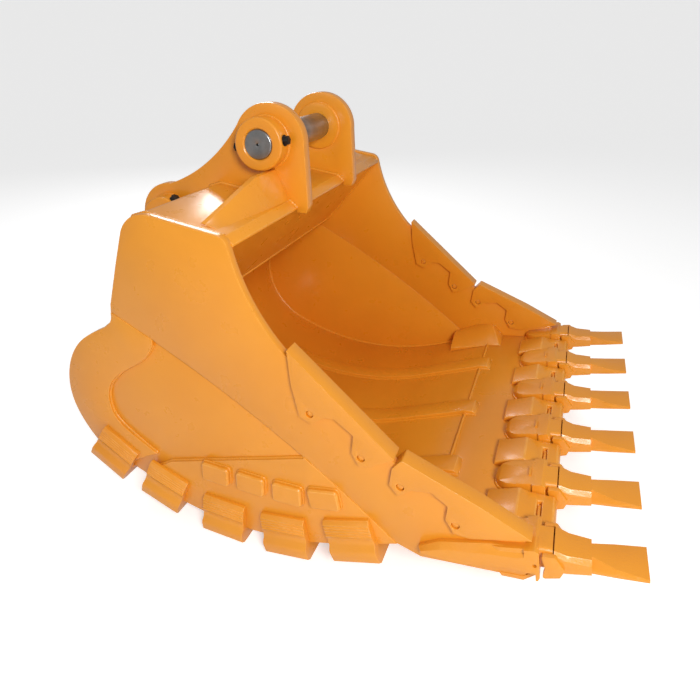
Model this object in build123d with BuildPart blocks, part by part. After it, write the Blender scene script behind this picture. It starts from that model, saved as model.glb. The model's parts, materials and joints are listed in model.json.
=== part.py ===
"""Heavy-duty excavator rock bucket.

Frame: origin on the stick pin's axis, midway between the ears.
+X points forward to the teeth, +Y to the bucket's left side, +Z up.
All sizes are in millimetres.
"""
from build123d import *
from math import atan2, cos, degrees, radians, sin, tan
import os

os.makedirs("parts", exist_ok=True)

# ---------------------------------------------------------------- overall
OUTER_WIDTH = 1520.0        # over the upper side plates
UPPER_SIDE_T = 30.0         # upper side plate
LOWER_SIDE_T = 18.0         # lower side plate, flush with the upper one inside
WEAR_T = 14.0               # raised wear plates on the lower side plates
SHELL_T = 25.0              # rolled shell
INNER_HALF = OUTER_WIDTH / 2 - UPPER_SIDE_T
SIDES = {"right": -1, "left": 1}

# ------------------------------------------------------------ pins and ears
PIN_R = 55.0
PIN_CLEARANCE = 0.05        # radial running clearance in the bosses
EAR_GAP = 420.0             # between the inner boss faces
EAR_T = 44.0
EAR_INSET = 12.0            # inner boss face to inner ear face
BOSS_R = 95.0
BOSS_PROUD = 64.0           # outer boss face to outer ear face
PIN_DISTANCE = 561.0        # stick pin to link pin
LINK_DIRECTION = 216.5      # degrees, from the stick pin to the link pin
EAR_HEAD_R = 143.0
EAR_LINK_R = 140.0
SCREW_TILTS = (10.0, 62.0)  # lock screws above horizontal: stick, link pin
SCREW_R = 10.0
SCREW_TIP_GAP = 0.5         # screw tip to pin

# ------------------------------------------------------------------- shell
HEEL_C = (-196.0, -902.0)   # centre of the heel roll
HEEL_R = 338.0              # inner radius of the heel roll
HEEL_START = 82.0           # degrees, where the roll meets the torque box
HEEL_END = 246.3            # degrees, where the roll meets the floor arc
FLOOR_R = 1075.0
FLOOR_SLOPE = 22.5          # degrees, straight part of the floor

# --------------------------------------------------------------------- lip
LIP_X = 785.0               # rear top edge of the lip
LIP_ANGLE = 9.0
LIP_T = 75.0
LIP_LENGTH = 330.0
LIP_NOSE_L = 40.0           # length and depth of the lip's top bevel
LIP_NOSE = 22.0
LIP_BEVEL_L = 40.0          # length and depth of the bevel under its front
LIP_BEVEL = 25.0
TOOTH_COUNT = 6
CORNER_INSET = 38.75        # corner tooth, inside the outer face of the side

# ------------------------------------------------------- straps and blocks
STRIP_T = 16.0              # bars welded on the floor inside
STRIP_W = 90.0
STRIP_SPACING = 395.0
STRIP_START = 253.0         # degrees on the floor arc
STRIP_ON_LIP = 46.0
EDGE_LIP = 0.0              # side plates' edge below the shell's outer face

OUTER_HALF = OUTER_WIDTH / 2
TOOTH_PITCH = 2 * (OUTER_HALF - CORNER_INSET) / (TOOTH_COUNT - 1)
LOWER_FACE = INNER_HALF + LOWER_SIDE_T
WEAR_FACE = LOWER_FACE + WEAR_T
BOSS_INNER = EAR_GAP / 2
EAR_INNER = BOSS_INNER + EAR_INSET
EAR_OUTER = EAR_INNER + EAR_T
BOSS_OUTER = EAR_OUTER + BOSS_PROUD
LINK_C = (
    PIN_DISTANCE * cos(radians(LINK_DIRECTION)),
    PIN_DISTANCE * sin(radians(LINK_DIRECTION)),
)


# ------------------------------------------------------- reference curves
def polar(centre, radius, angle):
    """Point at an angle in degrees on a circle in the XZ plane."""
    a = radians(angle)
    return (centre[0] + radius * cos(a), centre[1] + radius * sin(a))


FLOOR_C = polar(HEEL_C, HEEL_R - FLOOR_R, HEEL_END)
FLOOR_END = 270.0 + FLOOR_SLOPE


def on_heel(angle, depth=0.0):
    """Point on the heel roll, depth outwards from the inner surface."""
    return polar(HEEL_C, HEEL_R + depth, angle)


def on_floor(angle, depth=0.0):
    """Point on the floor arc, depth outwards from the inner surface."""
    return polar(FLOOR_C, FLOOR_R + depth, angle)


def on_slope(x, depth=0.0):
    """Point on the straight floor at x, depth outwards (square to it)."""
    x0, z0 = on_floor(FLOOR_END)
    slope = radians(FLOOR_SLOPE)
    return (x, z0 + (x - x0) * tan(slope) - depth / cos(slope))


LIP_Z = on_slope(LIP_X)[1]
LIP_C = cos(radians(LIP_ANGLE))
LIP_S = sin(radians(LIP_ANGLE))


def lip_point(u, v):
    """Point u along the lip's top face from its rear edge and v above it."""
    return (LIP_X + u * LIP_C - v * LIP_S, LIP_Z + u * LIP_S + v * LIP_C)


def lip_plane(y):
    """Side-view plane of the lip: x along it, y up from it, normal to -Y."""
    return Plane(origin=(LIP_X, y, LIP_Z), x_dir=(LIP_C, 0, LIP_S), z_dir=(0, -1, 0))


def lip_plan(v=0.0):
    """Plan-view plane of the lip at height v: x along it, y across."""
    x, z = lip_point(0, v)
    return Plane(origin=(x, 0, z), x_dir=(LIP_C, 0, LIP_S), z_dir=(-LIP_S, 0, LIP_C))


def lip_section(u, y):
    """Cross-section plane of the lip at u: x across, y up from the lip."""
    x, z = lip_point(u, 0)
    return Plane(origin=(x, y, z), x_dir=(0, 1, 0), z_dir=(LIP_C, 0, LIP_S))


def side_plane(side, inner):
    """Side-view plane at a distance from the middle, on one side."""
    return Plane.XZ.offset(-side * inner)


def save(builder, name):
    """Label a finished piece and write its file."""
    builder.part.label = name
    export_step(builder.part, "parts/" + name + ".step")


def shell_end(depth):
    """Point where a layer of the floor meets the lip's rear face."""
    along = depth / cos(radians(FLOOR_SLOPE - LIP_ANGLE))
    return lip_point(0, -along)


# ------------------------------------------------------------------- shell
with BuildPart() as shell:
    with BuildSketch(Plane.XZ):
        with BuildLine():
            heel_mid = (HEEL_START + HEEL_END) / 2
            floor_mid = (HEEL_END + FLOOR_END) / 2
            ThreePointArc(on_heel(HEEL_START), on_heel(heel_mid), on_heel(HEEL_END))
            ThreePointArc(on_floor(HEEL_END), on_floor(floor_mid), on_floor(FLOOR_END))
            Polyline(
                on_floor(FLOOR_END),
                shell_end(0),
                shell_end(SHELL_T),
                on_floor(FLOOR_END, SHELL_T),
            )
            ThreePointArc(
                on_floor(FLOOR_END, SHELL_T),
                on_floor(floor_mid, SHELL_T),
                on_floor(HEEL_END, SHELL_T),
            )
            ThreePointArc(
                on_heel(HEEL_END, SHELL_T),
                on_heel(heel_mid, SHELL_T),
                on_heel(HEEL_START, SHELL_T),
            )
            Line(on_heel(HEEL_START, SHELL_T), on_heel(HEEL_START))
        make_face()
    extrude(amount=INNER_HALF, both=True)
save(shell, "shell")

# --------------------------------------------------------------------- lip
LIP_BEVEL_U = LIP_LENGTH - LIP_BEVEL_L
LIP_FRONT_LOW = LIP_BEVEL - LIP_T
LIP_OUTLINE = [
    (0, 0),
    (LIP_LENGTH - LIP_NOSE_L, 0),
    (LIP_LENGTH, -LIP_NOSE),
    (LIP_LENGTH, LIP_FRONT_LOW),
    (LIP_BEVEL_U, -LIP_T),
    (0, -LIP_T),
]
with BuildPart() as lip:
    with BuildSketch(lip_plane(0)):
        with BuildLine():
            Polyline(LIP_OUTLINE, close=True)
        make_face()
    extrude(amount=INNER_HALF, both=True)
save(lip, "lip_plate")

# ------------------------------------------------- side plates and wear plates
DECK_REAR = (-170.0, -167.0)    # rear end of the side plates' straight top edge
DECK_FRONT = (80.0, -201.0)     # front end of it
NOSE_LOW = (120.0, -238.0)      # below the rounded top front corner
SEAM_REAR = (-375.0, -544.0)
SEAM_MID = (164.0, -806.0)
SEAM_X = 700.0                  # the seam runs out into the lower edge here
MOUTH_TOP = (296.0, -554.0)     # the sidebar protectors start here
MOUTH_BEND = lip_point(-65.4, 258.5)     # the front edge changes slope here
SIDE_FRONT_U = 302.0            # the side plate ends here on the lip
SIDE_FRONT_V = 53.0
SIDE_LOW_V = -LIP_T - 7.0
EDGE_DEPTH = SHELL_T + EDGE_LIP
SEAM_FRONT = on_slope(SEAM_X, EDGE_DEPTH)


def upper_side(side):
    """Upper side plate: closes the cavity from the torque box to the lip."""
    with BuildPart() as plate:
        with BuildSketch(side_plane(side, INNER_HALF)):
            with BuildLine():
                ThreePointArc((-286, -236), (-252, -190), DECK_REAR)
                Line(DECK_REAR, DECK_FRONT)
                ThreePointArc(DECK_FRONT, (107, -213), NOSE_LOW)
                ThreePointArc(NOSE_LOW, (184, -402), MOUTH_TOP)
                Polyline(
                    MOUTH_TOP,
                    MOUTH_BEND,
                    lip_point(SIDE_FRONT_U, SIDE_FRONT_V),
                    lip_point(SIDE_FRONT_U, LIP_FRONT_LOW - 16),
                    lip_point(SIDE_FRONT_U - 14, SIDE_LOW_V),
                    lip_point(-20, SIDE_LOW_V),
                    SEAM_FRONT,
                )
                ThreePointArc(SEAM_FRONT, SEAM_MID, SEAM_REAR)
                Polyline(SEAM_REAR, (-372, -514), (-321, -344), (-286, -236))
            make_face()
        extrude(amount=-side * UPPER_SIDE_T)
    return plate


HEEL_EDGE = [
    SEAM_REAR,
    (-443, -627),
    (-556, -708),
    (-622, -830),
    (-620, -990),
    (-522, -1142),
    (-388, -1213),
]
EDGE_LOW = on_floor(255.0, EDGE_DEPTH)


def lower_edge():
    """Lower edge of the side plates, from the seam's rear end forwards."""
    Spline(HEEL_EDGE, tangents=[(0.1, -1), (1, -0.42)])
    Line(HEEL_EDGE[-1], EDGE_LOW)
    ThreePointArc(EDGE_LOW, on_floor(272.0, EDGE_DEPTH), on_floor(FLOOR_END, EDGE_DEPTH))
    Line(on_floor(FLOOR_END, EDGE_DEPTH), SEAM_FRONT)


def lower_side(side):
    """Lower side plate, under the upper one and set in from its face."""
    with BuildPart() as plate:
        with BuildSketch(side_plane(side, INNER_HALF)):
            with BuildLine():
                lower_edge()
                ThreePointArc(SEAM_FRONT, SEAM_MID, SEAM_REAR)
            make_face()
        extrude(amount=-side * LOWER_SIDE_T)
    return plate


HEEL_BAND_INNER = [
    (-206, -639),
    (-262, -712),
    (-370, -790),
    (-436, -880),
    (-425, -989),
    (-317, -1073),
    (-246, -1112),
]
HEEL_BAND_CUT = (-372, -1185)
FRONT_WEAR_REAR = (-291, -1231)
FRONT_WEAR_TOP = (-176, -1126)


def heel_wear(side):
    """Wear band around the heel, on the outside of the lower side plate."""
    with BuildPart() as band:
        with BuildSketch(side_plane(side, LOWER_FACE)):
            with BuildLine():
                lower_edge()
                ThreePointArc(SEAM_FRONT, SEAM_MID, SEAM_REAR)
            make_face()
            with BuildLine():
                Spline(HEEL_BAND_INNER)
                Polyline(
                    HEEL_BAND_INNER[-1],
                    HEEL_BAND_CUT,
                    (HEEL_BAND_CUT[0], -1500),
                    (1000, -1500),
                    (1000, -400),
                    (HEEL_BAND_INNER[0][0], -400),
                    HEEL_BAND_INNER[0],
                )
            make_face(mode=Mode.SUBTRACT)
        extrude(amount=-side * WEAR_T)
    return band


def front_wear(side):
    """Wear plate along the lower front of the side."""
    with BuildPart() as plate:
        with BuildSketch(side_plane(side, LOWER_FACE)):
            with BuildLine():
                lower_edge()
                ThreePointArc(SEAM_FRONT, SEAM_MID, SEAM_REAR)
            make_face()
            with BuildLine():
                Polyline(
                    (FRONT_WEAR_REAR[0], -1500),
                    FRONT_WEAR_REAR,
                    (-235, -1164),
                    FRONT_WEAR_TOP,
                    (368, -938),
                    (368, -400),
                    (-800, -400),
                    (-800, -1500),
                    close=True,
                )
            make_face(mode=Mode.SUBTRACT)
        extrude(amount=-side * WEAR_T)
    return plate


for side_name, side in SIDES.items():
    save(upper_side(side), "upper_side_plate_" + side_name)
    save(lower_side(side), "lower_side_plate_" + side_name)
    save(heel_wear(side), "heel_wear_plate_" + side_name)
    save(front_wear(side), "front_wear_plate_" + side_name)

# -------------------------------------------------------------- torque box
DECK_ANGLE = degrees(atan2(DECK_FRONT[1] - DECK_REAR[1], DECK_FRONT[0] - DECK_REAR[0]))
DECK_DROP = 6.0             # top plate below the side plates' edge
DECK_T = 30.0
DECK_START = -78.0          # rear end, along the deck from DECK_REAR
DECK_REAR_BEND = -30.0      # where the bevel at its rear end starts
DECK_REAR_DROP = 24.0
DECK_BEND = 268.0           # where the nose bevel starts
DECK_END = 300.0
NOSE_DROP = 20.0
BOX_T = 20.0                # front and back plates of the box
BACK_FOOT = (109.0, 112.0)  # degrees on the heel roll


def deck_point(u, v):
    """Point u along the top plate from DECK_REAR and v above its face."""
    a = radians(DECK_ANGLE)
    v -= DECK_DROP
    x = DECK_REAR[0] + u * cos(a) - v * sin(a)
    return (x, DECK_REAR[1] + u * sin(a) + v * cos(a))


with BuildPart() as top_plate:
    with BuildSketch(Plane.XZ):
        with BuildLine():
            Polyline(
                deck_point(DECK_START, -DECK_REAR_DROP),
                deck_point(DECK_REAR_BEND, 0),
                deck_point(DECK_BEND, 0),
                deck_point(DECK_END, -NOSE_DROP),
                deck_point(DECK_END, -DECK_T),
                deck_point(DECK_START, -DECK_T),
                close=True,
            )
        make_face()
    extrude(amount=INNER_HALF, both=True)
save(top_plate, "top_plate")

with BuildPart() as torque_front:
    with BuildSketch(Plane.XZ):
        with BuildLine():
            Polyline(
                deck_point(DECK_END - 12, -DECK_T),
                on_heel(HEEL_START),
                on_heel(HEEL_START, SHELL_T),
                deck_point(DECK_END - 12 - 1.3 * BOX_T, -DECK_T),
                close=True,
            )
        make_face()
    extrude(amount=INNER_HALF, both=True)
save(torque_front, "torque_box_front_plate")

with BuildPart() as torque_back:
    with BuildSketch(Plane.XZ):
        with BuildLine():
            foot_front = on_heel(BACK_FOOT[0], SHELL_T)
            foot_back = on_heel(BACK_FOOT[1], SHELL_T)
            foot_mid = on_heel(sum(BACK_FOOT) / 2, SHELL_T)
            ThreePointArc(foot_front, foot_mid, foot_back)
            Polyline(
                foot_back,
                deck_point(DECK_START, -DECK_T),
                deck_point(DECK_START + BOX_T, -DECK_T),
                foot_front,
            )
        make_face()
    extrude(amount=INNER_HALF, both=True)
save(torque_back, "torque_box_back_plate")

# -------------------------------------------------------------------- ears
EAR_FRONT_TOP = (153.0, -6.0)
EAR_FRONT_LOW = (169.0, -225.0)
NECK_START = polar((10.0, -2.0), EAR_HEAD_R, 155.0)
NECK_MID = (-250.0, -84.0)
NECK_END = polar(LINK_C, EAR_LINK_R, 88.0)
LINK_LOW = polar(LINK_C, EAR_LINK_R, 246.0)


def ear(side):
    """Ear plate with a stick pin head, a link pin head and a front tab."""
    with BuildPart() as plate:
        with BuildSketch(side_plane(side, EAR_INNER)):
            with BuildLine():
                ThreePointArc(EAR_FRONT_TOP, polar((10, -2), EAR_HEAD_R, 78), NECK_START)
                ThreePointArc(NECK_START, NECK_MID, NECK_END)
                ThreePointArc(NECK_END, polar(LINK_C, EAR_LINK_R, 167), LINK_LOW)
                Polyline(
                    LINK_LOW,
                    on_heel(BACK_FOOT[1], SHELL_T),
                    deck_point(DECK_START, -DECK_T),
                    deck_point(DECK_START, -DECK_REAR_DROP),
                    deck_point(DECK_REAR_BEND, 0),
                    deck_point(DECK_BEND, 0),
                    deck_point(DECK_END, -NOSE_DROP),
                    deck_point(DECK_END, -DECK_T - 10),
                    (160, -253),
                    EAR_FRONT_LOW,
                    EAR_FRONT_TOP,
                )
            make_face()
            with Locations((0, 0), LINK_C):
                Circle(BOSS_R, mode=Mode.SUBTRACT)
        extrude(amount=-side * EAR_T)
    return plate


def boss(side, centre, tilt):
    """Pin boss through an ear, bored for the pin and tapped for two screws."""
    with BuildPart() as ring:
        with BuildSketch(side_plane(side, BOSS_INNER)):
            with Locations(centre):
                Circle(BOSS_R)
                Circle(PIN_R + PIN_CLEARANCE, mode=Mode.SUBTRACT)
        extrude(amount=-side * (BOSS_OUTER - BOSS_INNER))
        outer_face = ring.faces().filter_by(Axis.Y).sort_by(Axis.Y)[-1 if side > 0 else 0]
        chamfer(outer_face.edges(), BOSS_BEVEL)
        for turn in (0, 180):
            with BuildSketch(screw_plane(side, centre, tilt + turn, SCREW_SEAT)):
                Circle(SCREW_SEAT_R)
            extrude(amount=BOSS_R, mode=Mode.SUBTRACT)
            with BuildSketch(screw_plane(side, centre, tilt + turn, PIN_R - 5)):
                Circle(SCREW_R)
            extrude(amount=BOSS_R, mode=Mode.SUBTRACT)
    return ring


BOSS_BEVEL = 5.0
PIN_BEVEL = 4.0
CENTRE_DRILL_R = 5.0
CENTRE_DRILL_L = 12.0
SCREW_Y = EAR_OUTER + BOSS_PROUD / 2
SCREW_SEAT = BOSS_R - 3.0
SCREW_SEAT_R = 21.0
SCREW_WASHER_R = 20.0
SCREW_WASHER_T = 4.0
SCREW_HEAD_R = 17.0
SCREW_HEAD_T = 15.0


def screw_plane(side, centre, angle, radius):
    """Plane square to a lock screw's axis, facing outwards."""
    x, z = polar(centre, radius, angle)
    direction = (cos(radians(angle)), 0, sin(radians(angle)))
    return Plane(origin=(x, side * SCREW_Y, z), x_dir=(0, 1, 0), z_dir=direction)


for side_name, side in SIDES.items():
    save(ear(side), "ear_plate_" + side_name)
    save(boss(side, (0, 0), SCREW_TILTS[0]), "stick_pin_boss_" + side_name)
    save(boss(side, LINK_C, SCREW_TILTS[1]), "link_pin_boss_" + side_name)

with BuildPart() as lock_screws:
    for side in SIDES.values():
        for centre, tilt in zip(((0, 0), LINK_C), SCREW_TILTS):
            for turn in (0, 180):
                seat = screw_plane(side, centre, tilt + turn, SCREW_SEAT)
                with BuildSketch(seat):
                    Circle(SCREW_WASHER_R)
                extrude(amount=SCREW_WASHER_T)
                with BuildSketch(seat.offset(SCREW_WASHER_T)):
                    RegularPolygon(SCREW_HEAD_R, 6)
                extrude(amount=SCREW_HEAD_T)
                with BuildSketch(seat):
                    Circle(SCREW_R - 0.1)
                extrude(amount=-(SCREW_SEAT - PIN_R - SCREW_TIP_GAP))
save(lock_screws, "pin_lock_screws")


def bucket_pin(centre):
    """Hardened pin, flush with the outer boss faces, centre-drilled."""
    with BuildPart() as pin:
        with BuildSketch(Plane.XZ.offset(-BOSS_OUTER)):
            with Locations(centre):
                Circle(PIN_R)
        extrude(amount=2 * BOSS_OUTER)
        ends = pin.faces().filter_by(Axis.Y)
        chamfer(ends.edges(), PIN_BEVEL)
        for side in SIDES.values():
            with BuildSketch(side_plane(side, BOSS_OUTER)):
                with Locations(centre):
                    Circle(CENTRE_DRILL_R)
            extrude(amount=side * CENTRE_DRILL_L, mode=Mode.SUBTRACT)
    return pin


save(bucket_pin((0, 0)), "stick_pin")
save(bucket_pin(LINK_C), "link_pin")

# ----------------------------------------------------------- wing gussets
GUSSET_T = 16.0
GUSSET_EDGE_GAP = 30.0      # its outer end to the side plate
GUSSET_LEVEL = 150.0        # its top edge stays level this far from the ear
GUSSET_FOOT = (268.0, 224.0)    # foot along the top plate: at the ear, at the end
GUSSET_HEAD = (198.0, 178.0)    # top edge along it, likewise
GUSSET_HEIGHTS = (104.0, 100.0, 5.0)


def gusset_section(y, foot, head, height):
    """Section of the leaning plate, standing on the top plate."""
    with BuildSketch(Plane.XZ.offset(-y)) as section:
        with BuildLine():
            Polyline(
                deck_point(foot, 0),
                deck_point(head, height),
                deck_point(head - GUSSET_T, height),
                deck_point(foot - 1.2 * GUSSET_T, 0),
                close=True,
            )
        make_face()
    return section.sketch


def wing_gusset(side):
    """Leaning stiffener from an ear out along the top plate."""
    end = INNER_HALF - GUSSET_EDGE_GAP
    share = GUSSET_LEVEL / (end - EAR_OUTER)
    foot = GUSSET_FOOT[0] + share * (GUSSET_FOOT[1] - GUSSET_FOOT[0])
    head = GUSSET_HEAD[0] + share * (GUSSET_HEAD[1] - GUSSET_HEAD[0])
    sections = [
        gusset_section(side * EAR_OUTER, GUSSET_FOOT[0], GUSSET_HEAD[0], GUSSET_HEIGHTS[0]),
        gusset_section(side * (EAR_OUTER + GUSSET_LEVEL), foot, head, GUSSET_HEIGHTS[1]),
        gusset_section(side * end, GUSSET_FOOT[1], GUSSET_HEAD[1], GUSSET_HEIGHTS[2]),
    ]
    with BuildPart() as gusset:
        loft(sections, ruled=True)
    return gusset


for side_name, side in SIDES.items():
    save(wing_gusset(side), "wing_gusset_" + side_name)

# ------------------------------------------------------------ floor strips
with BuildPart() as floor_strips:
    strip_mid = (STRIP_START + FLOOR_END) / 2
    half_turn = radians((FLOOR_SLOPE - LIP_ANGLE) / 2)
    knee_u = -STRIP_T * tan(half_turn)
    for row in (-1, 0, 1):
        with BuildSketch(Plane.XZ.offset(-row * STRIP_SPACING)):
            with BuildLine():
                ThreePointArc(on_floor(STRIP_START), on_floor(strip_mid), on_floor(FLOOR_END))
                Polyline(
                    on_floor(FLOOR_END),
                    lip_point(0, 0),
                    lip_point(STRIP_ON_LIP, 0),
                    lip_point(STRIP_ON_LIP - STRIP_T, STRIP_T),
                    lip_point(knee_u, STRIP_T),
                    on_floor(FLOOR_END, -STRIP_T),
                )
                ThreePointArc(
                    on_floor(FLOOR_END, -STRIP_T),
                    on_floor(strip_mid, -STRIP_T),
                    on_floor(STRIP_START + 1, -STRIP_T),
                )
                Line(on_floor(STRIP_START + 1, -STRIP_T), on_floor(STRIP_START))
            make_face()
        extrude(amount=STRIP_W / 2, both=True)
save(floor_strips, "floor_wear_strips")

# ---------------------------------------------------------- corner gussets
CORNER_X = (600.0, 848.0)   # along the side plate
CORNER_REACH = 130.0        # across the floor
CORNER_RISE = 66.0          # up the side plate, above the lip's rear edge
CORNER_NOSE = 46.0


def corner_gusset(side):
    """Wedge casting in the corner of floor, lip and side plate."""
    with BuildPart() as wedge:
        with BuildSketch(side_plane(side, INNER_HALF - CORNER_REACH)):
            with BuildLine():
                Polyline(
                    on_slope(CORNER_X[0]),
                    lip_point(0, 0),
                    lip_point(CORNER_X[1] - LIP_X, 0),
                    lip_point(CORNER_X[1] - LIP_X - CORNER_NOSE, CORNER_RISE - 8),
                    lip_point(-36, CORNER_RISE),
                    (CORNER_X[0], on_slope(CORNER_X[0])[1] + CORNER_RISE),
                    close=True,
                )
            make_face()
        extrude(amount=-side * CORNER_REACH)
        x, z = lip_point(0, CORNER_RISE)
        slope = CORNER_RISE / CORNER_REACH
        bevel = Plane(
            origin=(x, side * INNER_HALF, z),
            x_dir=(cos(radians(16)), 0, sin(radians(16))),
            z_dir=(-sin(radians(16)), -side * slope, cos(radians(16))),
        )
        split(bisect_by=bevel, keep=Keep.BOTTOM)
    return wedge


for side_name, side in SIDES.items():
    save(corner_gusset(side), "corner_gusset_" + side_name)

# ---------------------------------------------------------------- adapters
STRAP_HALF = 64.0           # half width of an adapter's straps
COLLAR_HALF = 72.0          # half width of its collar
STRAP_REAR = 176.0          # rear end of the top strap, along the lip
COLLAR_REAR = 300.0
COLLAR_FRONT = 341.0
NECK_FRONT = 376.0
NOSE_FRONT = 456.0
NOSE_HALF = 39.0
NOSE_LOW_V = -4.0
NOSE_HIGH_V = 28.0
ADAPTER_PROFILE = [
    (STRAP_REAR, 0),
    (STRAP_REAR + 3, 24),
    (STRAP_REAR + 16, 34),
    (290, 50),
    (COLLAR_FRONT - 12, 57),
    (COLLAR_FRONT, 50),
    (COLLAR_FRONT, -38),
    (COLLAR_FRONT - 8, LIP_FRONT_LOW - 6),
    (LIP_BEVEL_U + 2, -LIP_T - 14),
    (LIP_BEVEL_U - 60, -LIP_T - 14),
    (LIP_BEVEL_U - 68, -LIP_T),
    (LIP_BEVEL_U, -LIP_T),
    (LIP_LENGTH, LIP_FRONT_LOW),
    (LIP_LENGTH, -LIP_NOSE),
    (LIP_LENGTH - LIP_NOSE_L, 0),
]
LOWER_STRAP_HALF = 40.0     # the leg under the lip is narrower
NECK_SIZE = (104.0, 74.0)
NECK_V = 15.0               # height of the neck's middle above the lip
NECK_ROUND = 14.0
LIFTING_EYE_U = 286.0       # small eye cast on top of a middle adapter
LIFTING_EYE_V = 48.0
LIFTING_EYE_SIZE = (44.0, 16.0)
LIFTING_EYE_HOLE = (28.0, 10.0)
LIFTING_EYE_L = 7.0
WING_PIN_AT = (328.0, 3.0)  # hole for the tooth's retainer in the wing's face
WING_PIN_R = 6.0
WING_OUTLINE = [
    (-18, -24),
    (50, 9),
    (199, 38),
    (281, 47),
    (COLLAR_FRONT - 4, 55),
    (COLLAR_FRONT, 48),
    (COLLAR_FRONT, -36),
    (306, -36),
    (258, -28),
    (120, -53),
    (50, -49),
    (-18, -40),
]
WING_FACE = [
    (-8, -27),
    (57, -5),
    (199, 14),
    (281, 20),
    (322, 34),
    (334, 30),
    (334, -26),
    (306, -28),
    (258, -22),
    (120, -43),
    (57, -40),
    (-8, -34),
]
WING_BEVEL = 18.0


def adapter_casting(y):
    """Two straps over the lip, a collar, a neck and a nose for the tooth."""
    with BuildPart() as casting:
        with BuildSketch(lip_plane(y)):
            with BuildLine():
                Polyline(ADAPTER_PROFILE, close=True)
            make_face()
        extrude(amount=COLLAR_HALF, both=True)
        with BuildSketch(lip_plan(-150)):
            with Locations((COLLAR_REAR, y)):
                Rectangle(60, 2 * COLLAR_HALF, align=(Align.MIN, Align.CENTER))
            with Locations((STRAP_REAR + STRAP_HALF, y)):
                Circle(STRAP_HALF)
                Rectangle(
                    COLLAR_REAR - STRAP_REAR,
                    2 * STRAP_HALF,
                    align=(Align.MIN, Align.CENTER),
                )
        extrude(amount=300, mode=Mode.INTERSECT)
        with BuildSketch(lip_plan(LIP_FRONT_LOW)):
            for hand in (-1, 1):
                with Locations((LIP_BEVEL_U, y + hand * (LOWER_STRAP_HALF + 50))):
                    Rectangle(240, 100)
        extrude(amount=-100, mode=Mode.SUBTRACT)
        with BuildSketch(lip_section(COLLAR_FRONT - 5, y)):
            with Locations((0, NECK_V)):
                RectangleRounded(*NECK_SIZE, NECK_ROUND)
        extrude(amount=NECK_FRONT - COLLAR_FRONT + 5)
        with BuildSketch(lip_section(NECK_FRONT - 5, y)):
            with Locations((0, (NOSE_LOW_V + NOSE_HIGH_V) / 2)):
                Rectangle(2 * NOSE_HALF, NOSE_HIGH_V - NOSE_LOW_V)
        extrude(amount=NOSE_FRONT - NECK_FRONT + 5)
    return casting.part


def middle_adapter(y):
    """Adapter between the corners, with a small lifting eye on top."""
    straps = adapter_casting(y)
    with BuildPart() as casting:
        add(straps)
        with BuildSketch(lip_section(LIFTING_EYE_U, y)):
            with Locations((0, LIFTING_EYE_V)):
                Rectangle(*LIFTING_EYE_SIZE)
                Rectangle(*LIFTING_EYE_HOLE, mode=Mode.SUBTRACT)
        extrude(amount=LIFTING_EYE_L)
    return casting


def corner_adapter(side):
    """Adapter astride the side plate, with a long wing outside it."""
    y = side * (TOOTH_COUNT - 1) / 2 * TOOTH_PITCH
    wing_t = abs(y) + COLLAR_HALF - OUTER_HALF
    bevel_y = side * (OUTER_HALF + wing_t - WING_BEVEL)
    straps = adapter_casting(y)
    with BuildPart() as casting:
        add(straps)
        with BuildSketch(lip_plane(bevel_y)):
            with BuildLine():
                Polyline(WING_OUTLINE, close=True)
            make_face()
        extrude(amount=side * (wing_t - WING_BEVEL + UPPER_SIDE_T))
        with BuildSketch(lip_plane(bevel_y)):
            with BuildLine():
                Polyline(WING_OUTLINE, close=True)
            make_face()
        with BuildSketch(lip_plane(side * (OUTER_HALF + wing_t))):
            with BuildLine():
                Polyline(WING_FACE, close=True)
            make_face()
        loft(ruled=True)
        with BuildSketch(lip_plane(side * OUTER_HALF)):
            with Locations((SIDE_FRONT_U, SIDE_LOW_V)):
                Rectangle(500, 300, align=(Align.MAX, Align.MIN))
        extrude(amount=side * UPPER_SIDE_T, mode=Mode.SUBTRACT)
        with BuildSketch(lip_plane(side * (abs(y) + COLLAR_HALF))):
            with Locations(WING_PIN_AT):
                Circle(WING_PIN_R)
        extrude(amount=side * 20, mode=Mode.SUBTRACT)
    return casting


# ------------------------------------------------------------------- teeth
TOOTH_REAR = 380.0
TOOTH_STEP = 477.0
TOOTH_TIP = 618.0
TIP_HALF = 62.0
POCKET_CLEARANCE = 1.0
LUG_INNER = 55.0
LUG_OUTER = 71.0
LUG_OUTLINE = [
    (346, 42),
    (384, 44),
    (408, 4),
    (395, -24),
    (347, -38),
    (356, 0),
]
LUG_ROUND = 6.0


def hexagon(u, y, half, low, high, top_half, waist):
    """Six-sided tooth section: flat base, upright flanks, bevelled top."""
    with BuildSketch(lip_section(u, y)) as section:
        with BuildLine():
            Polyline(
                (-half, low),
                (half, low),
                (half, waist),
                (top_half, high),
                (-top_half, high),
                (-half, waist),
                close=True,
            )
        make_face()
    return section.sketch


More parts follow.
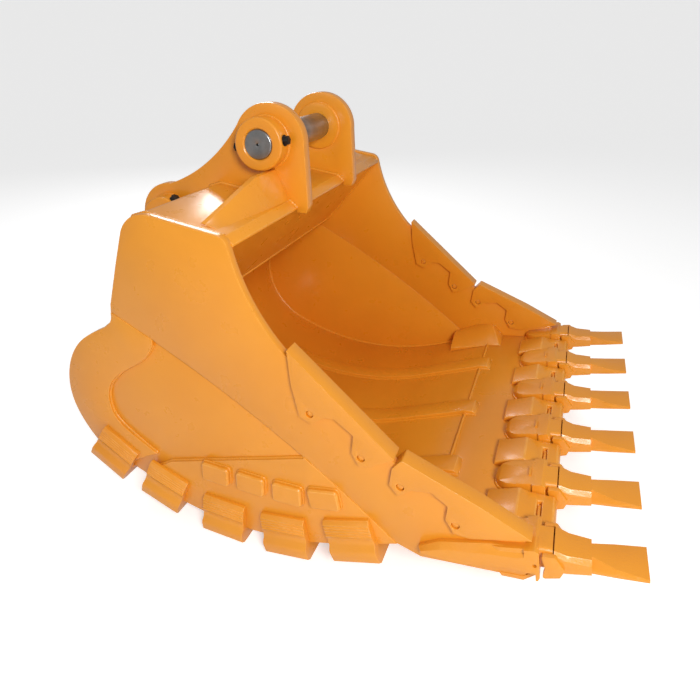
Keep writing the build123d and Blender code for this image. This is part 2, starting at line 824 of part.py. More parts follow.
def tooth(y):
    """Chisel tooth: a box over the adapter nose, then a flared blade."""
    with BuildPart() as point:
        socket = [
            hexagon(TOOTH_REAR, y, 58, -19, 51, 50, 38),
            hexagon(TOOTH_REAR + 36, y, 56, -17, 37, 46, 24),
            hexagon(TOOTH_STEP, y, 50, -12, 34, 40, 18),
        ]
        blade = [
            hexagon(TOOTH_STEP, y, 46, -9, 32, 26, 0),
            hexagon(TOOTH_STEP + 62, y, 54, 0, 23, 48, 10),
            hexagon(TOOTH_TIP, y, TIP_HALF, 12, 21, TIP_HALF - 1, 18),
        ]
        loft(socket, ruled=True)
        loft(blade, ruled=True)
        for hand in (-1, 1):
            inner = y + hand * LUG_INNER
            with BuildSketch(lip_plane(inner)):
                with BuildLine():
                    Polyline(LUG_OUTLINE, close=True)
                make_face()
                fillet(vertices(), LUG_ROUND)
            extrude(amount=-hand * (LUG_OUTER - LUG_INNER))
        with BuildSketch(lip_section(TOOTH_REAR, y)):
            with Locations((0, (NOSE_LOW_V + NOSE_HIGH_V) / 2)):
                Rectangle(
                    2 * (NOSE_HALF + POCKET_CLEARANCE),
                    NOSE_HIGH_V - NOSE_LOW_V + 2 * POCKET_CLEARANCE,
                )
        extrude(amount=NOSE_FRONT - TOOTH_REAR + POCKET_CLEARANCE, mode=Mode.SUBTRACT)
    return point


for index in range(TOOTH_COUNT):
    number = str(index + 1)
    tooth_y = (index - (TOOTH_COUNT - 1) / 2) * TOOTH_PITCH
    if index in (0, TOOTH_COUNT - 1):
        adapter = corner_adapter(-1 if index == 0 else 1)
        save(adapter, "corner_adapter_" + ("right" if index == 0 else "left"))
    else:
        save(middle_adapter(tooth_y), "adapter_" + number)
    save(tooth(tooth_y), "tooth_" + number)

# ------------------------------------------------------------- lip shrouds
SHROUD_GAP = 4.0
SHROUD_HALF = TOOTH_PITCH / 2 - COLLAR_HALF - SHROUD_GAP
LIP_SHROUD_PROFILE = [
    (156, 0),
    (160, 16),
    (262, 43),
    (292, 32),
    (370, 24),
    (378, 8),
    (366, LIP_FRONT_LOW),
    (LIP_LENGTH - 8, -LIP_T - 8),
    (LIP_BEVEL_U - 18, -LIP_T - 12),
    (LIP_BEVEL_U - 22, -LIP_T),
    (LIP_BEVEL_U, -LIP_T),
    (LIP_LENGTH, LIP_FRONT_LOW),
    (LIP_LENGTH, -LIP_NOSE),
    (LIP_LENGTH - LIP_NOSE_L, 0),
]
LOCK_SLOT_U = (319.0, 334.0)
LOCK_SLOT_HALF = 34.0
LOCK_SLOT_FLOOR = 10.0
LOCK_GAP = 2.0              # lock to slot, front and rear
LOCK_T = 8.0
SHROUD_PLACES = [(i - (TOOTH_COUNT - 2) / 2) * TOOTH_PITCH for i in range(TOOTH_COUNT - 1)]


def lip_shroud(y):
    """Cast shroud over the lip's edge between two adapters."""
    with BuildPart() as casting:
        with BuildSketch(lip_plane(y)):
            with BuildLine():
                Polyline(LIP_SHROUD_PROFILE, close=True)
            make_face()
        extrude(amount=SHROUD_HALF, both=True)
        with BuildSketch(lip_plan(LOCK_SLOT_FLOOR)):
            with Locations((sum(LOCK_SLOT_U) / 2, y)):
                Rectangle(LOCK_SLOT_U[1] - LOCK_SLOT_U[0], 2 * LOCK_SLOT_HALF)
        extrude(amount=60, mode=Mode.SUBTRACT)
    return casting


for number, shroud_y in enumerate(SHROUD_PLACES, 1):
    save(lip_shroud(shroud_y), "lip_shroud_" + str(number))

with BuildPart() as shroud_locks:
    for shroud_y in SHROUD_PLACES:
        with BuildSketch(lip_plan(LOCK_SLOT_FLOOR)):
            with Locations((sum(LOCK_SLOT_U) / 2, shroud_y)):
                slot_length = LOCK_SLOT_U[1] - LOCK_SLOT_U[0]
                Rectangle(slot_length - 2 * LOCK_GAP, 1.6 * LOCK_SLOT_HALF)
        extrude(amount=LOCK_T)
save(shroud_locks, "lip_shroud_locks")

# --------------------------------------------------- sidebar protectors
GUARD_LEG_T = 16.0
GUARD_ROUND = 8.0
GUARD_PIN_R = 12.0
GUARD_PIN_GAP = 1.0         # radial, between pin and hole
GUARD_PIN_SUNK = 5.0        # pin head below the casting's face
UPPER_GUARD_HOLES = [(-293.4, -86.6), (-85.7, -67.4)]
LOWER_GUARD_HOLES = [(-55.9, 190.2), (104.9, 80.7)]
UPPER_GUARD = [
    (-484.8, 29.1),
    (-399.5, -55.0),
    (-309.4, -122.5),
    (-265.4, -110.3),
    (-255.8, -55.1),
    (-231.8, -30.7),
    (-154.9, -24.2),
    (-116.8, -78.2),
    (-69.6, -95.5),
    (-46.8, -63.2),
    (-21.9, 20.9),
]
LOWER_GUARD = [
    (-41.3, 289.1),
    (-74.9, 256.0),
    (-90.8, 193.7),
    (-65.5, 155.3),
    (-20.1, 186.5),
    (40.9, 188.0),
    (87.1, 147.3),
    (76.0, 96.4),
    (97.9, 49.4),
    (147.3, 41.6),
    (322.5, 73.5),
    (182.8, 163.5),
]


def edge_point(along, out):
    """Point along the side's front edge from MOUTH_BEND and out from it."""
    run = (MOUTH_BEND[0] - MOUTH_TOP[0], MOUTH_BEND[1] - MOUTH_TOP[1])
    length = (run[0] ** 2 + run[1] ** 2) ** 0.5
    ex, ez = run[0] / length, run[1] / length
    return (MOUTH_BEND[0] + along * ex - out * ez, MOUTH_BEND[1] + along * ez + out * ex)


UPPER_HOLES_AT = [edge_point(*hole) for hole in UPPER_GUARD_HOLES]
LOWER_HOLES_AT = [lip_point(*hole) for hole in LOWER_GUARD_HOLES]


def sidebar_guard(side, outline, holes):
    """U-shaped casting astride the side plate's front edge, two pin holes."""
    with BuildPart() as casting:
        with BuildSketch(side_plane(side, INNER_HALF - GUARD_LEG_T)):
            with BuildLine():
                Polyline(outline, close=True)
            make_face()
            inner = vertices().sort_by(Axis.X)[1:-1]
            fillet(inner, GUARD_ROUND)
            with Locations(holes):
                Circle(GUARD_PIN_R + GUARD_PIN_GAP, mode=Mode.SUBTRACT)
        extrude(amount=-side * (UPPER_SIDE_T + 2 * GUARD_LEG_T))
        with BuildSketch(side_plane(side, INNER_HALF)):
            with BuildLine():
                Polyline(
                    MOUTH_TOP,
                    MOUTH_BEND,
                    lip_point(SIDE_FRONT_U, SIDE_FRONT_V),
                    (1200, -1400),
                    (200, -1400),
                    (200, -470),
                    close=True,
                )
            make_face()
        extrude(amount=-side * UPPER_SIDE_T, mode=Mode.SUBTRACT)
    return casting


for side_name, side in SIDES.items():
    outline = [edge_point(*corner) for corner in UPPER_GUARD]
    save(sidebar_guard(side, outline, UPPER_HOLES_AT), "upper_sidebar_guard_" + side_name)
    outline = [lip_point(*corner) for corner in LOWER_GUARD]
    save(sidebar_guard(side, outline, LOWER_HOLES_AT), "lower_sidebar_guard_" + side_name)

with BuildPart() as guard_pins:
    for side in SIDES.values():
        with BuildSketch(side_plane(side, OUTER_HALF)):
            with Locations(UPPER_HOLES_AT + LOWER_HOLES_AT):
                Circle(GUARD_PIN_R)
        extrude(amount=-side * (GUARD_LEG_T - GUARD_PIN_SUNK))
        with BuildSketch(side_plane(side, INNER_HALF)):
            with Locations(UPPER_HOLES_AT + LOWER_HOLES_AT):
                Circle(GUARD_PIN_R)
        extrude(amount=side * (GUARD_LEG_T - GUARD_PIN_SUNK))
save(guard_pins, "sidebar_guard_pins")

# ------------------------------------------------------------ heel shrouds
HEEL_SHROUDS = [
    ((-452, -1180), -30.0, 56.0),
    (on_floor(253.0, EDGE_DEPTH - 10), -19.0, 56.0),
    (on_floor(267.4, EDGE_DEPTH), -1.0, 52.0),
    (on_floor(280.8, EDGE_DEPTH), 10.0, 57.8),
    (on_slope(558.0, EDGE_DEPTH), 20.0, 57.8),
]
HEEL_SHROUD_L = 170.0
HEEL_SHROUD_IN = 70.0       # inwards from the wear plate's face
HEEL_PAD_T = 24.0
HEEL_PAD_H = 106.0
HEEL_BLOCK_T = 38.0         # the block under the edge stands out this far
RIDGE_COUNT = 5
RIDGE_PITCH = 10.0
RIDGE_DEPTH = 5.0


with BuildPart() as edge_core:
    with BuildSketch(Plane.XZ):
        with BuildLine():
            lower_edge()
            ThreePointArc(SEAM_FRONT, SEAM_MID, SEAM_REAR)
        make_face()
    extrude(amount=WEAR_FACE, both=True)


def heel_shroud(side, foot, angle, depth):
    """Rounded block under the side's lower edge with a stepped pad outside."""
    a = radians(angle)
    frame = Plane(
        origin=(foot[0], side * WEAR_FACE, foot[1]),
        x_dir=(0, side, 0),
        z_dir=(side * cos(a), 0, side * sin(a)),
    )
    steps = []
    for step in range(RIDGE_COUNT):
        high = HEEL_PAD_H - 10 - step * RIDGE_PITCH
        out = HEEL_PAD_T - RIDGE_DEPTH + 1.2 * step
        steps.append((out + RIDGE_DEPTH, high - 0.4 * RIDGE_PITCH))
        steps.append((out + 1, high - RIDGE_PITCH + 0.5))
    with BuildPart() as casting:
        with BuildSketch(frame):
            with BuildLine():
                Polyline(
                    (0, 2),
                    (0, HEEL_PAD_H),
                    (HEEL_PAD_T - 12, HEEL_PAD_H - 2),
                    *steps,
                    (HEEL_PAD_T - 2, 30),
                    (HEEL_PAD_T + 1, 14),
                    (HEEL_BLOCK_T - 2, 2),
                    (HEEL_BLOCK_T, -8),
                    (HEEL_BLOCK_T - 6, 12 - depth),
                    (HEEL_BLOCK_T - 22, -depth),
                    (-HEEL_SHROUD_IN, -depth),
                    (-HEEL_SHROUD_IN, 2),
                    close=True,
                )
            make_face()
        extrude(amount=HEEL_SHROUD_L / 2, both=True)
        add(edge_core.part, mode=Mode.SUBTRACT)
        add(shell.part, mode=Mode.SUBTRACT)
    return casting


# -------------------------------------------------------------- wear blocks
WEAR_BLOCKS = [           # place on the floor arc, height above it, tilt
    (265.1, 192.9, 0.0),
    (274.4, 197.5, 0.0),
    (283.6, 181.0, 3.0),
    (292.3, 164.0, 13.0),
]
WEAR_BLOCK_SIZE = (112.0, 76.0)
WEAR_BLOCK_T = 20.0
WEAR_BLOCK_ROUND = 14.0
WEAR_BLOCK_BEVEL = 5.0

for side_name, side in SIDES.items():
    castings = [heel_shroud(side, *place).part for place in HEEL_SHROUDS]
    with BuildPart() as shrouds:
        add(castings)
    save(shrouds, "heel_shrouds_" + side_name)
    with BuildPart() as blocks:
        for turn, above, angle in WEAR_BLOCKS:
            with BuildSketch(side_plane(side, WEAR_FACE)):
                with Locations(Location(on_floor(turn, -above), angle)):
                    RectangleRounded(*WEAR_BLOCK_SIZE, WEAR_BLOCK_ROUND)
            extrude(amount=-side * WEAR_BLOCK_T)
        faces = blocks.faces().filter_by(Axis.Y).group_by(Axis.Y)[-1 if side > 0 else 0]
        chamfer(faces.edges(), WEAR_BLOCK_BEVEL)
    save(blocks, "wear_blocks_" + side_name)
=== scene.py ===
# %% [markdown]
# A rock bucket for a large excavator.
#
# The real object is cut, rolled and welded from thick steel plate. Cast teeth,
# guards and shrouds sit on it, two turned pins join its ears, and nearly all of
# it is painted one glossy yellow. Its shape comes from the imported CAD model,
# which stays where it is. This notebook gives each piece soft edges, paint or
# bare steel, adds the weld beads, and then sets a plain studio.

# %% Load the frame
import json
import math

import bmesh
import bpy
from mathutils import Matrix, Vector

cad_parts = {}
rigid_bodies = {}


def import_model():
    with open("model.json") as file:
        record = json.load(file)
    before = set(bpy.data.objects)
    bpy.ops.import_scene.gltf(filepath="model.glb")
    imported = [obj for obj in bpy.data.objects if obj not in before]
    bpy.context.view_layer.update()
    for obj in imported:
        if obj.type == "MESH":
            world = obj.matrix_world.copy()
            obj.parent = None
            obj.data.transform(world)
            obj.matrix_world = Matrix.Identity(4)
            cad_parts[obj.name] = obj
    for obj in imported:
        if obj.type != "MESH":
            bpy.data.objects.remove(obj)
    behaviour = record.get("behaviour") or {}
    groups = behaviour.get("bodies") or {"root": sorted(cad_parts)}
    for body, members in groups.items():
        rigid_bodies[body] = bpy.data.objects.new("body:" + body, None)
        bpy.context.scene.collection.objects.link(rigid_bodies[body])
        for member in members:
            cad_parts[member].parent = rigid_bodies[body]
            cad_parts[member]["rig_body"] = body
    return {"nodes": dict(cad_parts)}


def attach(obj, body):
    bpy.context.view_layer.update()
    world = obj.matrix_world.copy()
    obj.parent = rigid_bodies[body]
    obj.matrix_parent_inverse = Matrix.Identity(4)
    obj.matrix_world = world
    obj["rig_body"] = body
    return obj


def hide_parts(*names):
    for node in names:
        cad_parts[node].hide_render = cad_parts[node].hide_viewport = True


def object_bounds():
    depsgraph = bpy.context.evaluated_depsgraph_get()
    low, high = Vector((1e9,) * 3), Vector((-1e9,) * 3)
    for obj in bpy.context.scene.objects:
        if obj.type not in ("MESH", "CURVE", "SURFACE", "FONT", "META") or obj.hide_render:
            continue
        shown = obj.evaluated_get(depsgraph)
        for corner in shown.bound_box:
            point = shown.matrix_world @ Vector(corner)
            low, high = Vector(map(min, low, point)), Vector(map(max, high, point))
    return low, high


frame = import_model()
cad_box = [list(corner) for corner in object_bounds()]
print("CAD box in metres:", cad_box)

# %% [markdown]
# The camera stands in front of the bucket's right side, a little above the
# pins. A wide lens close by gives the strong perspective of a large object
# seen in a workshop. The lens is shifted, not tilted further, so upright edges
# keep their direction. Making the camera first lets each later step be looked
# at as it is made.

# %% Camera
CAMERA_AT = Vector((1.029, -2.190, 0.348))
CAMERA_LOOKS = Vector((-0.368, 0.853, -0.369))
LENS_MM = 30.17

camera_data = bpy.data.cameras.new("studio_camera")
camera_data.sensor_width = 36.0
camera_data.lens = LENS_MM
camera_data.shift_x = 0.049
camera_data.shift_y = -0.110
camera_data.clip_end = 200.0
camera = bpy.data.objects.new("studio_camera", camera_data)
camera.location = CAMERA_AT
camera.rotation_euler = CAMERA_LOOKS.to_track_quat("-Z", "Y").to_euler()
bpy.context.scene.collection.objects.link(camera)
bpy.context.scene.camera = camera

# %% [markdown]
# Materials here are small node graphs, and four effects are used by more than
# one of them: a slow drift between two values, the fine skin of sprayed paint,
# the grain of a sand casting, and paler edges, which are partly paint worn thin
# and partly a painted highlight. Each is a node group with named inputs, built
# once. A group is the shader's version of a function: change it here and every
# material follows.


# %% Small helpers for node trees
def node(tree, kind, settings=None, **inputs):
    """Adds a node, sets its properties, then fills or links its inputs."""
    made = tree.nodes.new(kind)
    for name, value in (settings or {}).items():
        setattr(made, name, value)
    for name, value in inputs.items():
        key = int(name[1:]) if name[0] == "i" and name[1:].isdigit() else name.replace("_", " ")
        target = made.inputs[key]
        if isinstance(value, bpy.types.NodeSocket):
            tree.links.new(value, target)
        else:
            target.default_value = value
    return made


def new_group(name, kind, inputs, outputs):
    """An empty node group with named sockets, and its two end nodes."""
    tree = bpy.data.node_groups.new(name, kind)
    for direction, sockets in (("INPUT", inputs), ("OUTPUT", outputs)):
        for label, socket_type, default in sockets:
            made = tree.interface.new_socket(
                name=label, in_out=direction, socket_type="NodeSocket" + socket_type
            )
            if default is not None:
                made.default_value = default
    start = tree.nodes.new("NodeGroupInput")
    end = tree.nodes.new("NodeGroupOutput")
    return tree, start, end


# %% Group: slow drift
drift, start, end = new_group(
    "slow_drift",
    "ShaderNodeTree",
    [("Scale", "Float", 2.0), ("Low", "Float", 0.35), ("High", "Float", 0.65)],
    [("Mask", "Float", None)],
)
place = node(drift, "ShaderNodeTexCoord")
clouds = node(
    drift,
    "ShaderNodeTexNoise",
    Vector=place.outputs["Object"],
    Scale=start.outputs["Scale"],
    Detail=4.0,
    Roughness=0.55,
)
mapped = node(
    drift,
    "ShaderNodeMapRange",
    Value=clouds.outputs["Fac"],
    From_Min=start.outputs["Low"],
    From_Max=start.outputs["High"],
)
drift.links.new(mapped.outputs["Result"], end.inputs["Mask"])

# %% Group: sprayed skin
peel, start, end = new_group(
    "sprayed_skin",
    "ShaderNodeTree",
    [("Scale", "Float", 320.0), ("Wave Scale", "Float", 9.0), ("Waves", "Float", 0.6)],
    [("Height", "Float", None)],
)
place = node(peel, "ShaderNodeTexCoord")
orange_peel = node(
    peel,
    "ShaderNodeTexNoise",
    Vector=place.outputs["Object"],
    Scale=start.outputs["Scale"],
    Detail=1.0,
)
plate_waves = node(
    peel,
    "ShaderNodeTexNoise",
    Vector=place.outputs["Object"],
    Scale=start.outputs["Wave Scale"],
    Detail=2.0,
)
waves = node(
    peel,
    "ShaderNodeMath",
    {"operation": "MULTIPLY"},
    i0=plate_waves.outputs["Fac"],
    i1=start.outputs["Waves"],
)
summed = node(
    peel,
    "ShaderNodeMath",
    {"operation": "MULTIPLY_ADD"},
    i0=orange_peel.outputs["Fac"],
    i1=0.12,
    i2=waves.outputs["Value"],
)
peel.links.new(summed.outputs["Value"], end.inputs["Height"])

# %% Group: cast grain
grain, start, end = new_group(
    "cast_grain",
    "ShaderNodeTree",
    [("Scale", "Float", 130.0), ("Pits", "Float", 0.5)],
    [("Height", "Float", None)],
)
place = node(grain, "ShaderNodeTexCoord")
sand = node(
    grain,
    "ShaderNodeTexNoise",
    Vector=place.outputs["Object"],
    Scale=start.outputs["Scale"],
    Detail=5.0,
    Roughness=0.65,
)
cells = node(
    grain,
    "ShaderNodeTexVoronoi",
    {"feature": "SMOOTH_F1"},
    Vector=place.outputs["Object"],
    Scale=start.outputs["Scale"],
)
pits = node(
    grain,
    "ShaderNodeMath",
    {"operation": "MULTIPLY"},
    i0=cells.outputs["Distance"],
    i1=start.outputs["Pits"],
)
summed = node(
    grain,
    "ShaderNodeMath",
    {"operation": "ADD"},
    i0=sand.outputs["Fac"],
    i1=pits.outputs["Value"],
)
grain.links.new(summed.outputs["Value"], end.inputs["Height"])

# %% Group: worn edges and painted edge highlight
# Paler paint on bevel faces, broken up by noise: partly paint worn thin, partly a painted
# highlight along the edges.
worn_and_highlit, start, end = new_group(
    "edge_wear_and_highlight",
    "ShaderNodeTree",
    [("Amount", "Float", 0.6), ("Scale", "Float", 28.0)],
    [("Mask", "Float", None)],
)
edge = node(worn_and_highlit, "ShaderNodeAttribute", {"attribute_name": "edge"})
place = node(worn_and_highlit, "ShaderNodeTexCoord")
patches = node(
    worn_and_highlit,
    "ShaderNodeTexNoise",
    Vector=place.outputs["Object"],
    Scale=start.outputs["Scale"],
    Detail=6.0,
    Roughness=0.7,
)
broken = node(
    worn_and_highlit,
    "ShaderNodeMapRange",
    Value=patches.outputs["Fac"],
    From_Min=0.35,
    From_Max=0.7,
)
on_edges = node(
    worn_and_highlit,
    "ShaderNodeMath",
    {"operation": "MULTIPLY"},
    i0=broken.outputs["Result"],
    i1=edge.outputs["Fac"],
)
scaled = node(
    worn_and_highlit,
    "ShaderNodeMath",
    {"operation": "MULTIPLY", "use_clamp": True},
    i0=on_edges.outputs["Value"],
    i1=start.outputs["Amount"],
)
worn_and_highlit.links.new(scaled.outputs["Value"], end.inputs["Mask"])

# %% [markdown]
# The paint is a two-pack yellow with an orange cast, sprayed wet and glossy. A
# flat yellow looks like plastic. Three things give real paint away: it drifts
# a little in colour where the coat is thick or thin, its gloss is uneven, and
# its surface follows what is under it. So rolled plate keeps long gentle
# waves and castings keep a sandy grain. Edges are painted a little paler,
# partly as paint worn thin and partly as a painted highlight.

# %% Paint
FRESH_YELLOW = (0.84, 0.325, 0.020, 1.0)
THIN_YELLOW = (0.76, 0.272, 0.015, 1.0)
# Paler yellow for the bevelled edges: partly worn paint, partly a painted highlight.
EDGE_YELLOW = (0.92, 0.44, 0.09, 1.0)


def use_group(tree, group, **inputs):
    made = tree.nodes.new("ShaderNodeGroup")
    made.node_tree = group
    for name, value in inputs.items():
        made.inputs[name.replace("_", " ")].default_value = value
    return made


def mix_colour(tree, factor, first, second):
    return node(
        tree,
        "ShaderNodeMix",
        {"data_type": "RGBA"},
        i0=factor,
        i6=first,
        i7=second,
    ).outputs[2]


def paint(name, skin, skin_inputs, bump, gloss, edge_amount):
    """Yellow paint over a surface whose relief comes from one node group."""
    material = bpy.data.materials.new(name)
    material.use_nodes = True
    tree = material.node_tree
    shader = tree.nodes["Principled BSDF"]
    shade = use_group(tree, drift, Scale=1.7, Low=0.30, High=0.72)
    sheen = use_group(tree, drift, Scale=11.0, Low=0.25, High=0.75)
    # Painted highlight and worn paint together: bevel faces blend toward the paler edge yellow.
    edges = use_group(tree, worn_and_highlit, Amount=edge_amount, Scale=34.0)
    coat = mix_colour(tree, shade.outputs["Mask"], FRESH_YELLOW, THIN_YELLOW)
    coat = mix_colour(tree, edges.outputs["Mask"], coat, EDGE_YELLOW)
    tree.links.new(coat, shader.inputs["Base Color"])
    roughness = node(
        tree,
        "ShaderNodeMapRange",
        Value=sheen.outputs["Mask"],
        To_Min=gloss,
        To_Max=gloss + 0.14,
    )
    tree.links.new(roughness.outputs["Result"], shader.inputs["Roughness"])
    relief = use_group(tree, skin, **skin_inputs)
    bumped = node(
        tree,
        "ShaderNodeBump",
        Height=relief.outputs["Height"],
        Strength=bump,
        Distance=0.002,
    )
    tree.links.new(bumped.outputs["Normal"], shader.inputs["Normal"])
    shader.inputs["Coat Weight"].default_value = 0.35
    shader.inputs["Coat Roughness"].default_value = 0.18
    return material


plate_paint = paint("paint_on_plate", peel, {}, 0.30, 0.24, 0.55)
cast_paint = paint("paint_on_castings", grain, {"Scale": 150.0}, 0.45, 0.26, 0.9)
weld_paint = paint("paint_on_welds", grain, {"Scale": 420.0, "Pits": 0.2}, 0.25, 0.26, 0.0)
print("paints made:", plate_paint.name, cast_paint.name, weld_paint.name)

# %% [markdown]
# The pins are turned and ground steel with no paint on them, so they show the
# lathe's marks: rings along the barrel, and circles on the ends. Both are one
# pattern if the noise is read in cylinder coordinates, distance along the pin
# and distance from its axis. A Mapping node centres it on each pin. The lock
# screws are black oxide.


# %% Turned steel and black oxide
def turned_steel(name, centre):
    material = bpy.data.materials.new(name)
    material.use_nodes = True
    tree = material.node_tree
    shader = tree.nodes["Principled BSDF"]
    place = node(tree, "ShaderNodeTexCoord")
    centred = node(
        tree,
        "ShaderNodeMapping",
        Vector=place.outputs["Object"],
        Location=(-centre[0], 0.0, -centre[1]),
    )
    parts = node(tree, "ShaderNodeSeparateXYZ", Vector=centred.outputs["Vector"])
    across = node(tree, "ShaderNodeCombineXYZ", X=parts.outputs["X"], Y=parts.outputs["Z"])
    radius = node(
        tree, "ShaderNodeVectorMath", {"operation": "LENGTH"}, i0=across.outputs["Vector"]
    )
    rings = node(
        tree, "ShaderNodeCombineXYZ", X=radius.outputs["Value"], Y=parts.outputs["Y"]
    )
    lathe = node(
        tree,
        "ShaderNodeTexNoise",
        Vector=rings.outputs["Vector"],
        Scale=900.0,
        Detail=3.0,
    )
    stain = use_group(tree, drift, Scale=14.0, Low=0.35, High=0.7)
    colour = mix_colour(
        tree, stain.outputs["Mask"], (0.42, 0.425, 0.43, 1.0), (0.24, 0.235, 0.225, 1.0)
    )
    tree.links.new(colour, shader.inputs["Base Color"])
    shader.inputs["Metallic"].default_value = 1.0
    roughness = node(
        tree, "ShaderNodeMapRange", Value=lathe.outputs["Fac"], To_Min=0.24, To_Max=0.46
    )
    tree.links.new(roughness.outputs["Result"], shader.inputs["Roughness"])
    bumped = node(
        tree, "ShaderNodeBump", Height=lathe.outputs["Fac"], Strength=0.25, Distance=0.0006
    )
    tree.links.new(bumped.outputs["Normal"], shader.inputs["Normal"])
    return material


LINK_PIN_AT = (-0.45096, -0.33369)
stick_steel = turned_steel("turned_steel_stick_pin", (0.0, 0.0))
link_steel = turned_steel("turned_steel_link_pin", LINK_PIN_AT)

black_oxide = bpy.data.materials.new("black_oxide")
black_oxide.use_nodes = True
tree = black_oxide.node_tree
shader = tree.nodes["Principled BSDF"]
patina = use_group(tree, drift, Scale=60.0)
colour = mix_colour(
    tree, patina.outputs["Mask"], (0.012, 0.012, 0.013, 1.0), (0.04, 0.036, 0.032, 1.0)
)
tree.links.new(colour, shader.inputs["Base Color"])
roughness = node(
    tree, "ShaderNodeMapRange", Value=patina.outputs["Mask"], To_Min=0.34, To_Max=0.55
)
tree.links.new(roughness.outputs["Result"], shader.inputs["Roughness"])
shader.inputs["Metallic"].default_value = 0.6

# %% [markdown]
# Real steel has no razor edges: flame-cut plate is dressed with a grinder and a
# casting leaves its mould rounded. The eye reads those roundings as thin bright
# lines, so every piece gets them. A CAD node may not be changed, so each one is
# copied, its triangles are joined into whole faces, and its sharp edges are
# bevelled. The new narrow faces carry an "edge" value that the paint reads.


# %% Rounding the edges of a piece
def shown(name, mesh, material):
    piece = bpy.data.objects.new(name, mesh)
    bpy.context.scene.collection.objects.link(piece)
    mesh.materials.clear()
    mesh.materials.append(material)
    return piece


def eased(node_name, material, radius, segments=2, corner=32.0):
    """A copy of a CAD node with its sharp edges rounded."""
    mesh = frame["nodes"][node_name].data.copy()
    shape = bmesh.new()
    shape.from_mesh(mesh)
    bmesh.ops.remove_doubles(shape, verts=shape.verts, dist=2e-5)
    bmesh.ops.dissolve_limit(
        shape, angle_limit=math.radians(0.6), verts=shape.verts, edges=shape.edges
    )
    # Bevel faces are marked here. The paint makes them paler, partly as worn paint and partly
    # as a painted highlight.
    edge = shape.faces.layers.float.new("edge")
    sharp = [
        e
        for e in shape.edges
        if len(e.link_faces) == 2 and e.calc_face_angle(0.0) > math.radians(corner)
    ]
    rounded = bmesh.ops.bevel(
        shape,
        geom=sharp,
        offset=radius,
        segments=segments,
        profile=0.5,
        affect="EDGES",
        clamp_overlap=True,
    )
    for face in rounded["faces"]:
        face[edge] = 1.0
    bmesh.ops.triangulate(shape, faces=[f for f in shape.faces if len(f.verts) > 4])
    shape.to_mesh(mesh)
    shape.free()
    mesh.name = node_name + "_finished"
    mesh.shade_smooth()
    mesh.set_sharp_from_angle(angle=math.radians(corner))
    piece = shown(node_name + "_finished", mesh, material)
    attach(piece, frame["nodes"][node_name]["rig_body"])
    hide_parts(node_name)
    return piece


# %% Every piece gets its edges and its finish
PLATES = ("shell", "lip_plate", "top_plate", "torque_box", "upper_side_plate")
PLATES += ("lower_side_plate", "heel_wear", "front_wear", "ear_plate", "wing_gusset")
PLATES += ("floor_wear",)

triangles = 0
for name in sorted(frame["nodes"]):
    if name == "stick_pin":
        piece = eased(name, stick_steel, 0.0008)
    elif name == "link_pin":
        piece = eased(name, link_steel, 0.0008)
    elif name == "pin_lock_screws":
        piece = eased(name, black_oxide, 0.0008)
    elif name.startswith(PLATES):
        piece = eased(name, plate_paint, 0.0022)
    elif name.startswith(("stick_pin_boss", "link_pin_boss")):
        piece = eased(name, plate_paint, 0.0025)
    else:
        piece = eased(name, cast_paint, 0.0045, segments=3)
    piece.data.calc_loop_triangles()
    triangles += len(piece.data.loop_triangles)
print("finished pieces:", len(frame["nodes"]), "triangles:", triangles)

# %% [markdown]
# Weld beads hold it all together and are its most telling detail: a raised,
# painted-over cord along every joint, with the ripple of the torch in it. A
# bead is a shape that follows a path, so Geometry Nodes make it. The tree
# walks along a curve in short steps, swells and thins a round section in time
# with the ripple, and sweeps it. Every joint then needs only its path.

# %% Weld bead tree
bead, start, end = new_group(
    "weld_bead",
    "GeometryNodeTree",
    [
        ("Path", "Geometry", None),
        ("Size", "Float", 0.007),
        ("Ripple Pitch", "Float", 0.012),
        ("Ripple Depth", "Float", 0.10),
        ("Wander", "Float", 0.0010),
        ("Finish", "Material", None),
    ],
    [("Bead", "Geometry", None)],
)
step = node(
    bead,
    "ShaderNodeMath",
    {"operation": "DIVIDE"},
    i0=start.outputs["Ripple Pitch"],
    i1=3.0,
)
fine = node(
    bead,
    "GeometryNodeResampleCurve",
    {"mode": "LENGTH"},
    Curve=start.outputs["Path"],
    Length=step.outputs["Value"],
)
spot = node(bead, "GeometryNodeInputPosition")
jitter = node(
    bead,
    "ShaderNodeTexNoise",
    {"noise_dimensions": "3D"},
    Vector=spot.outputs["Position"],
    Scale=35.0,
    Detail=2.0,
)
centred = node(
    bead,
    "ShaderNodeVectorMath",
    {"operation": "SUBTRACT"},
    i0=jitter.outputs["Color"],
    i1=(0.5, 0.5, 0.5),
)
aside = node(
    bead,
    "ShaderNodeVectorMath",
    {"operation": "SCALE"},
    i0=centred.outputs["Vector"],
    Scale=start.outputs["Wander"],
)
wandered = node(
    bead,
    "GeometryNodeSetPosition",
    Geometry=fine.outputs["Curve"],
    Offset=aside.outputs["Vector"],
)
along = node(bead, "GeometryNodeSplineParameter")
turns = node(
    bead,
    "ShaderNodeMath",
    {"operation": "DIVIDE"},
    i0=along.outputs["Length"],
    i1=start.outputs["Ripple Pitch"],
)
phase = node(
    bead,
    "ShaderNodeMath",
    {"operation": "MULTIPLY"},
    i0=turns.outputs["Value"],
    i1=math.tau,
)
ripple = node(bead, "ShaderNodeMath", {"operation": "SINE"}, i0=phase.outputs["Value"])
swell = node(
    bead,
    "ShaderNodeMath",
    {"operation": "MULTIPLY_ADD"},
    i0=ripple.outputs["Value"],
    i1=start.outputs["Ripple Depth"],
    i2=1.0,
)
thickness = node(
    bead,
    "ShaderNodeMath",
    {"operation": "MULTIPLY"},
    i0=swell.outputs["Value"],
    i1=start.outputs["Size"],
)
section = node(bead, "GeometryNodeCurvePrimitiveCircle", Resolution=8, Radius=1.0)
